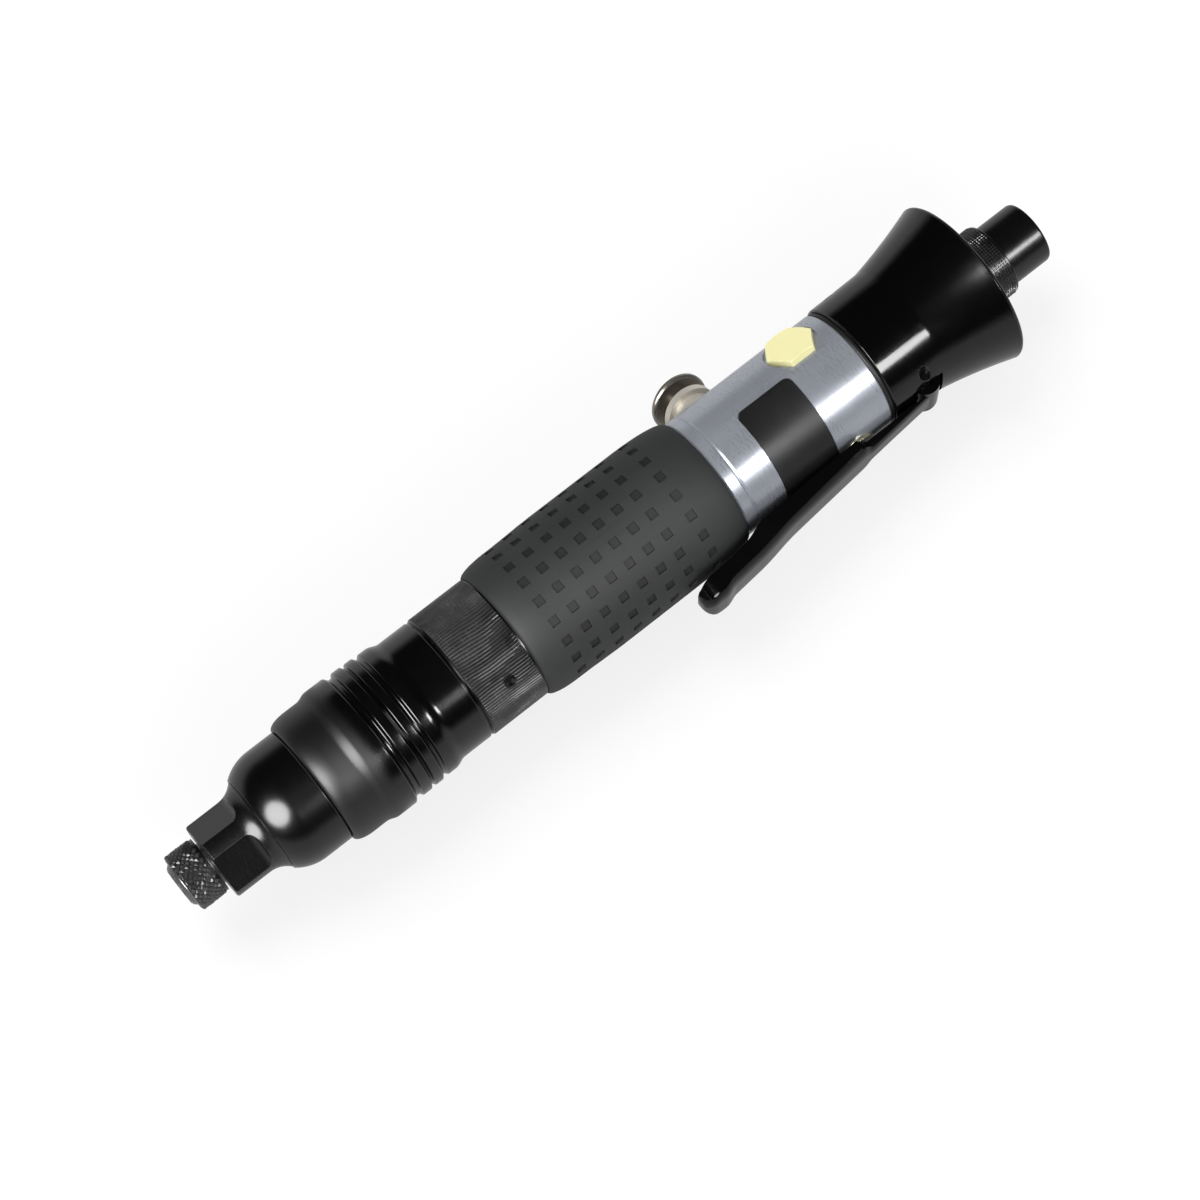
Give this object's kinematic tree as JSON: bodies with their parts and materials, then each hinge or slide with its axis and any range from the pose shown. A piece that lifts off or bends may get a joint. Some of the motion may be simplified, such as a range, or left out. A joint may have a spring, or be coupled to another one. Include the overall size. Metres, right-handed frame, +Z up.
{
  "type": "pneumatic torque screwdriver",
  "caption": "Straight air torque screwdriver with a lever start, reverse button, adjustable shut-off clutch, rubber grip and quick-change bit chuck.",
  "frame": {"origin": "centre of the bit socket's mouth, at the front end of the bit holder", "axes": "+X along the tool from the bit to the air inlet, +Z up with the label and hex plug on the upper side, the start lever on -Y"},
  "size_m": [0.2625, 0.0556, 0.0454],
  "materials": {
    "black_anodised": "gloss",
    "black_oxide": "satin",
    "steel": "ground",
    "gear_steel": "machined",
    "grey_anodised": "brushed satin",
    "rubber_grey": "matt",
    "seal_rubber": "satin",
    "label_black": "satin",
    "plug_brass": "polished",
    "nickel": "satin nickel",
    "bronze": "sintered",
    "vane_laminate": "matt"
  },
  "bodies": {
    "tool": {"nose_housing": "black_oxide", "nose_bush": "bronze", "clutch_spring": "steel", "carrier_bearing": "steel", "ring_gear": "gear_steel", "clutch_housing": "black_anodised", "lock_collar": "black_oxide", "front_end_plate": "gear_steel", "front_bearing": "steel", "cylinder_liner": "gear_steel", "rear_end_plate": "gear_steel", "rear_bearing": "steel", "shutoff_spring": "steel", "motor_housing": "grey_anodised", "rubber_grip": "rubber_grey", "label_plate": "label_black", "reverse_bush": "nickel", "hex_plug": "plug_brass", "throttle_bush": "plug_brass", "throttle_spring": "steel", "lever_pin": "steel", "cap_seal": "seal_rubber", "tail_cap": "black_anodised", "cap_screw": "black_oxide", "silencer": "bronze", "exhaust_plate": "black_oxide", "inlet_bush": "black_oxide", "inlet_ring": "black_oxide", "inlet_strainer": "steel"},
    "chuck_sleeve": {"chuck_sleeve": "black_oxide"},
    "clutch_cam": {"clutch_cam": "gear_steel", "thrust_washer": "steel"},
    "planet_1": {"planet_gear_1": "gear_steel"},
    "planet_2": {"planet_gear_2": "gear_steel"},
    "planet_3": {"planet_gear_3": "gear_steel"},
    "rotor": {"rotor": "steel", "rotor_vanes": "vane_laminate"},
    "torque_ring": {"torque_ring": "black_anodised"},
    "adjusting_nut": {"adjusting_nut": "steel"},
    "shutoff_rod": {"shutoff_rod": "steel"},
    "reverse_button": {"reverse_button": "nickel"},
    "lever": {"lever": "black_anodised"},
    "throttle_pin": {"throttle_pin": "steel"},
    "spindle": {"bit_holder": "black_oxide", "retaining_cap": "black_oxide", "chuck_spring": "steel", "chuck_balls": "steel", "clutch_balls": "steel", "planet_carrier": "gear_steel", "planet_pins": "steel", "carrier_ring": "gear_steel"}
  },
  "joints": [
    {"name": "rotor_spin", "type": "hinge", "parent": "tool", "child": "rotor", "pos_m": [0.12, 0, 0], "axis": [1, 0, 0], "continuous": true},
    {"name": "spindle_spin", "type": "hinge", "parent": "tool", "child": "spindle", "pos_m": [0.02, 0, 0], "axis": [1, 0, 0], "continuous": true},
    {"name": "planet_1_spin", "type": "hinge", "parent": "spindle", "child": "planet_1", "pos_m": [0.068, 0, 0.0072], "axis": [1, 0, 0], "continuous": true},
    {"name": "planet_2_spin", "type": "hinge", "parent": "spindle", "child": "planet_2", "pos_m": [0.068, -0.00624, -0.0036], "axis": [1, 0, 0], "continuous": true},
    {"name": "planet_3_spin", "type": "hinge", "parent": "spindle", "child": "planet_3", "pos_m": [0.068, 0.00624, -0.0036], "axis": [1, 0, 0], "continuous": true},
    {"name": "chuck_sleeve_slide", "type": "slide", "parent": "spindle", "child": "chuck_sleeve", "axis": [-1, 0, 0], "range_m": [0, 0.0022], "stiffness_N_per_m": 900, "springref_m": -0.002, "deforming": ["chuck_spring"]},
    {"name": "clutch_lift", "type": "slide", "parent": "spindle", "child": "clutch_cam", "axis": [-1, 0, 0], "range_m": [0, 0.0012], "stiffness_N_per_m": 12000, "springref_m": -0.003, "deforming": ["clutch_spring"]},
    {"name": "shutoff_slide", "type": "slide", "parent": "tool", "child": "shutoff_rod", "axis": [-1, 0, 0], "range_m": [0, 0.0012], "deforming": ["shutoff_spring"]},
    {"name": "torque_ring_turn", "type": "hinge", "parent": "tool", "child": "torque_ring", "pos_m": [0.0315, 0, 0], "axis": [1, 0, 0], "range_deg": [0, 300]},
    {"name": "nut_travel", "type": "slide", "parent": "tool", "child": "adjusting_nut", "axis": [1, 0, 0], "range_m": [0, 0.0065], "deforming": ["clutch_spring"]},
    {"name": "lever_pivot", "type": "hinge", "parent": "tool", "child": "lever", "pos_m": [0.2153, -0.015, 0], "axis": [0, 0, -1], "range_deg": [0, 2], "stiffness_Nm_per_rad": 1.2, "springref_deg": -6.88, "deforming": ["throttle_spring"]},
    {"name": "throttle_slide", "type": "slide", "parent": "tool", "child": "throttle_pin", "axis": [0, 1, 0], "range_m": [0, 0.0008]},
    {"name": "reverse_push", "type": "slide", "parent": "tool", "child": "reverse_button", "axis": [0, -0.866, 0.5], "range_m": [0, 0.0032]}
  ],
  "couplings": [
    {"joint": "spindle_spin", "follows": "rotor_spin", "ratio": 0.25},
    {"joint": "planet_1_spin", "follows": "rotor_spin", "ratio": -0.75},
    {"joint": "planet_2_spin", "follows": "rotor_spin", "ratio": -0.75},
    {"joint": "planet_3_spin", "follows": "rotor_spin", "ratio": -0.75},
    {"joint": "nut_travel", "follows": "torque_ring_turn", "m_per_rad": 0.00124},
    {"joint": "shutoff_slide", "follows": "clutch_lift", "ratio": 1},
    {"joint": "throttle_slide", "follows": "lever_pivot", "m_per_rad": 0.0218}
  ]
}
